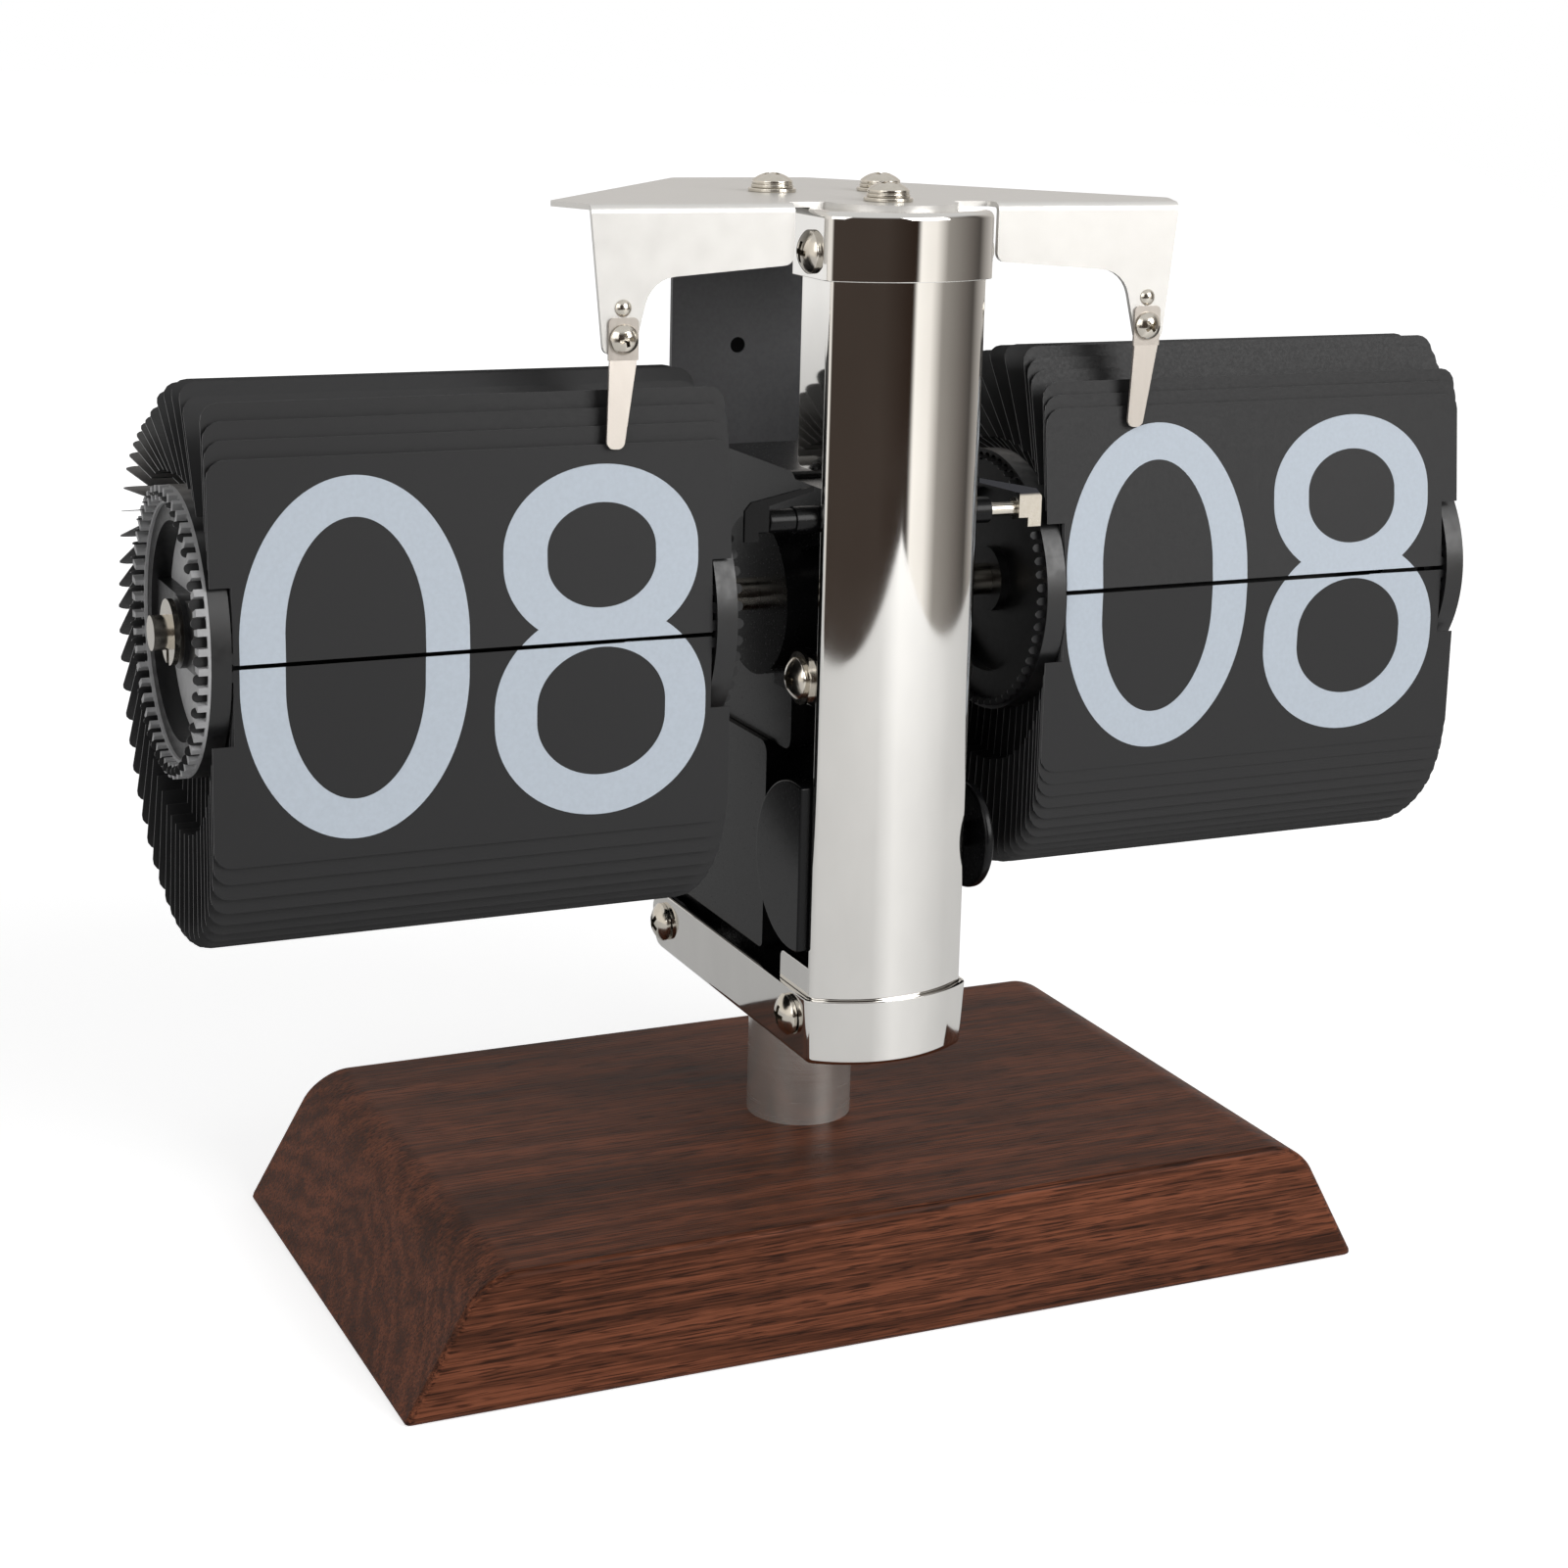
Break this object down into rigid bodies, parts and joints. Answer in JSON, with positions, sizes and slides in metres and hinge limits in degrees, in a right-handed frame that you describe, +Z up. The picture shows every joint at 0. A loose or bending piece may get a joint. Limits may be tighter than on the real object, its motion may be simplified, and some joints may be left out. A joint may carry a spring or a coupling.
{
  "type": "flip clock",
  "caption": "Desk flip clock with two drums of split number cards on one axle, a polished bowed column, winged top plate and a dark wooden base.",
  "frame": {"origin": "middle of the wooden base's underside, on the surface the clock stands on", "axes": "+X to the right of a reader in front of the clock, +Y to the back, +Z up"},
  "size_m": [0.212, 0.087, 0.1713],
  "materials": {
    "walnut": "oiled dark walnut, grain along the base",
    "brushed_steel": "turned stainless steel, fine rings",
    "polished_steel": "mirror-polished stainless sheet",
    "satin_steel": "satin stainless sheet",
    "nickel": "nickel-plated steel",
    "black_paint": "semi-matte black paint",
    "case_plastic": "glossy black moulded plastic",
    "wheel_plastic": "black moulded plastic, half gloss",
    "grey_plastic": "grey moulded plastic",
    "card_plastic": "matte black plastic sheet"
  },
  "bodies": {
    "stand": {"wood_base": "walnut", "post": "brushed_steel", "tray": "polished_steel", "column": "polished_steel", "cap": "polished_steel", "top_plate": "satin_steel", "hour_clip": "satin_steel", "minute_clip": "satin_steel", "base_bolt": "nickel", "post_screw": "nickel", "plate_screws": "nickel", "tray_screws": "nickel", "cap_screws": "nickel", "clip_screws": "nickel", "side_screws": "nickel", "side_washers": "nickel", "axle": "nickel", "axle_rings": "nickel", "lever_pins": "nickel", "back_plate": "black_paint", "gear_case": "case_plastic", "battery_box": "case_plastic", "motor_case": "case_plastic", "lever_rods": "case_plastic"},
    "hour_drum": {"hour_outer_wheel": "wheel_plastic", "hour_crown": "grey_plastic", "hour_web": "grey_plastic", "hour_inner_wheel": "wheel_plastic", "hour_sleeve": "wheel_plastic", "hour_upper_cards": "card_plastic", "hour_rear_cards": "card_plastic", "hour_lower_cards": "card_plastic"},
    "minute_drum": {"minute_outer_wheel": "wheel_plastic", "minute_cover": "wheel_plastic", "minute_web": "grey_plastic", "minute_inner_wheel": "wheel_plastic", "minute_sleeve": "wheel_plastic", "minute_upper_cards": "card_plastic", "minute_rear_cards": "card_plastic", "minute_lower_cards": "card_plastic"},
    "hour_leaf": {"hour_leaf": "card_plastic"},
    "minute_leaf": {"minute_leaf": "card_plastic"},
    "hour_lever": {"hour_lever": "case_plastic"},
    "minute_lever": {"minute_lever": "nickel"},
    "setting_wheel": {"setting_wheel": "case_plastic"}
  },
  "joints": [
    {"name": "hour_turn", "type": "hinge", "parent": "stand", "child": "hour_drum", "pos_m": [0, -0.00885, 0.109], "axis": [1, 0, 0], "range_deg": [-7.5, 0]},
    {"name": "minute_turn", "type": "hinge", "parent": "stand", "child": "minute_drum", "pos_m": [0, -0.00885, 0.109], "axis": [1, 0, 0], "range_deg": [-6, 0]},
    {"name": "hour_flip", "type": "hinge", "parent": "hour_drum", "child": "hour_leaf", "pos_m": [0, -0.02814, 0.10651], "axis": [-1, 0, 0], "range_deg": [0, 145]},
    {"name": "minute_flip", "type": "hinge", "parent": "minute_drum", "child": "minute_leaf", "pos_m": [0, -0.0283, 0.1092], "axis": [-1, 0, 0], "range_deg": [0, 145]},
    {"name": "hour_click", "type": "hinge", "parent": "stand", "child": "hour_lever", "pos_m": [0, -0.0265, 0.1235], "axis": [1, 0, 0], "range_deg": [-5, 5], "stiffness_Nm_per_rad": 0.01},
    {"name": "minute_click", "type": "hinge", "parent": "stand", "child": "minute_lever", "pos_m": [0, -0.0265, 0.1235], "axis": [1, 0, 0], "range_deg": [-5, 5], "stiffness_Nm_per_rad": 0.01},
    {"name": "setting_turn", "type": "hinge", "parent": "stand", "child": "setting_wheel", "pos_m": [0, -0.0225, 0.0719], "axis": [1, 0, 0], "range_deg": [0, 12]}
  ],
  "couplings": [
    {"joint": "setting_turn", "follows": "minute_turn", "ratio": -2}
  ]
}
